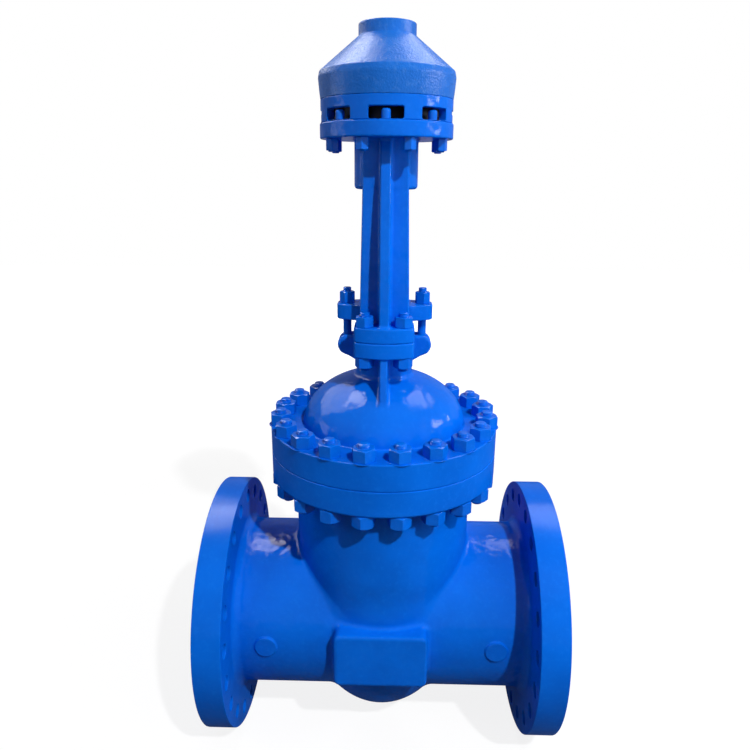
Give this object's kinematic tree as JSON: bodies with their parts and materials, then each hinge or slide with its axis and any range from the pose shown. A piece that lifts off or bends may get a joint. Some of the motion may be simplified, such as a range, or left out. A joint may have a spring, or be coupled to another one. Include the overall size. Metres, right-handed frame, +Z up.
{
  "type": "flanged gate valve with outside yoke",
  "caption": "Large flanged steel gate valve, shut, with a bolted domed bonnet, an outside yoke and a round bearing housing with windows on top.",
  "frame": {"origin": "centre of the left end-flange face, where the pipe meets the valve", "axes": "+X along the pipe through the valve, -Y the front, +Z up along the stem"},
  "size_m": [0.872, 0.6478, 1.7514],
  "materials": {
    "blue_paint": "glossy blue enamel over cast and machined steel",
    "machined_steel": "turned and ground steel",
    "bronze": "machined bronze",
    "graphite": "pressed graphite"
  },
  "bodies": {
    "root": {"body": "blue_paint", "seat_ring_left": "machined_steel", "seat_ring_right": "machined_steel", "wedge": "machined_steel", "stem": "machined_steel", "bonnet_gasket": "graphite", "bonnet": "blue_paint", "bonnet_studs": "blue_paint", "bonnet_nuts_upper": "blue_paint", "bonnet_nuts_lower": "blue_paint", "packing": "graphite", "gland_follower": "machined_steel", "gland_flange": "blue_paint", "gland_eyebolts": "blue_paint", "gland_pins": "blue_paint", "gland_nuts": "blue_paint", "yoke": "blue_paint", "yoke_studs": "blue_paint", "yoke_nuts_upper": "blue_paint", "yoke_nuts_lower": "blue_paint", "stem_nut": "bronze", "thrust_bearing": "machined_steel", "lantern_ring": "blue_paint", "lantern_studs": "blue_paint", "cover_bolts": "blue_paint", "cover_nuts": "blue_paint", "cover": "blue_paint"}
  },
  "joints": []
}
